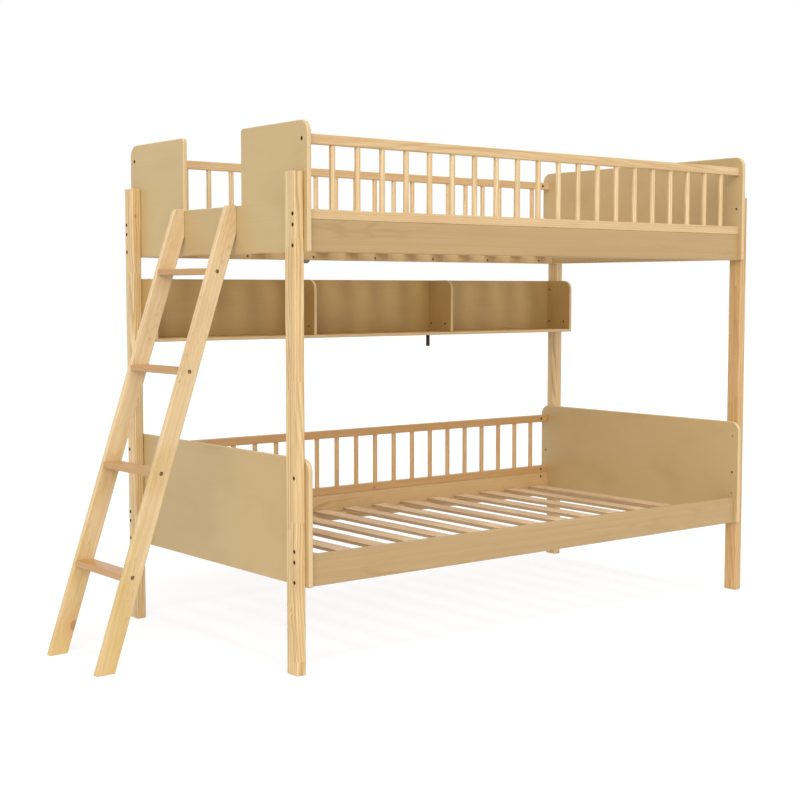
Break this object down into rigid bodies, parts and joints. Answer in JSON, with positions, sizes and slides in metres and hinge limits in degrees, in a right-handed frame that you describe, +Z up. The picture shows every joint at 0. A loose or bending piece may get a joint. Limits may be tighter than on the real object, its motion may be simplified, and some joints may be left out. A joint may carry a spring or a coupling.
{
  "type": "bunk bed with ladder",
  "caption": "Wooden bunk bed: end panels bolted inside corner posts, slatted levels, spindle guards, a bookshelf along the back and a leaning ladder at one end.",
  "frame": {"origin": "on the floor, under the middle of the bed and its ladder together", "axes": "+X along the bed from the ladder's end to the far end, +Y from the open front to the back with the bookshelf, +Z up"},
  "size_m": [2.546, 1.074, 1.651],
  "materials": {
    "post_pine": "clear satin varnish over finger-jointed pine",
    "guard_pine": "clear satin varnish over pine",
    "ladder_pine": "clear satin varnish over pine",
    "panel_board": "satin varnish over pale veneered board",
    "rail_board": "satin varnish over pale veneered board",
    "shelf_board": "satin varnish over pale veneered board",
    "slat_pine": "sawn, unvarnished pine",
    "dark_metal": "dark bronze",
    "grey_metal": "dull grey plate"
  },
  "bodies": {
    "bed": {"front_left_post": "post_pine", "back_left_post": "post_pine", "front_right_post": "post_pine", "back_right_post": "post_pine", "lower_left_end_panel": "panel_board", "lower_right_end_panel": "panel_board", "lower_front_side_rail": "rail_board", "lower_front_slat_cleat": "slat_pine", "lower_back_side_rail": "rail_board", "lower_back_slat_cleat": "slat_pine", "lower_slat_01": "slat_pine", "lower_slat_02": "slat_pine", "lower_slat_03": "slat_pine", "lower_slat_04": "slat_pine", "lower_slat_05": "slat_pine", "lower_slat_06": "slat_pine", "lower_slat_07": "slat_pine", "lower_slat_08": "slat_pine", "lower_slat_09": "slat_pine", "lower_slat_10": "slat_pine", "lower_slat_11": "slat_pine", "lower_slat_12": "slat_pine", "lower_slat_13": "slat_pine", "lower_slat_14": "slat_pine", "upper_left_end_panel": "panel_board", "upper_right_end_panel": "panel_board", "upper_front_side_rail": "rail_board", "upper_front_slat_cleat": "slat_pine", "upper_back_side_rail": "rail_board", "upper_back_slat_cleat": "slat_pine", "upper_slat_01": "slat_pine", "upper_slat_02": "slat_pine", "upper_slat_03": "slat_pine", "upper_slat_04": "slat_pine", "upper_slat_05": "slat_pine", "upper_slat_06": "slat_pine", "upper_slat_07": "slat_pine", "upper_slat_08": "slat_pine", "upper_slat_09": "slat_pine", "upper_slat_10": "slat_pine", "upper_slat_11": "slat_pine", "upper_slat_12": "slat_pine", "upper_slat_13": "slat_pine", "upper_slat_14": "slat_pine", "lower_back_guard": "guard_pine", "upper_back_guard": "guard_pine", "upper_front_guard": "guard_pine", "shelf_left_end": "shelf_board", "shelf_right_end": "shelf_board", "shelf_bottom_board": "shelf_board", "shelf_back_board": "shelf_board", "shelf_divider_1": "shelf_board", "shelf_divider_2": "shelf_board", "shelf_peg": "dark_metal"},
    "ladder": {"ladder_front_stringer": "ladder_pine", "ladder_back_stringer": "ladder_pine", "ladder_tread_1": "ladder_pine", "ladder_tread_2": "ladder_pine", "ladder_tread_3": "ladder_pine", "ladder_tread_4": "ladder_pine"}
  },
  "joints": [
    {"name": "ladder_lift_off", "type": "slide", "parent": "bed", "child": "ladder", "axis": [-0.7071, 0, 0.7071], "range_m": [0, 0.4]}
  ]
}
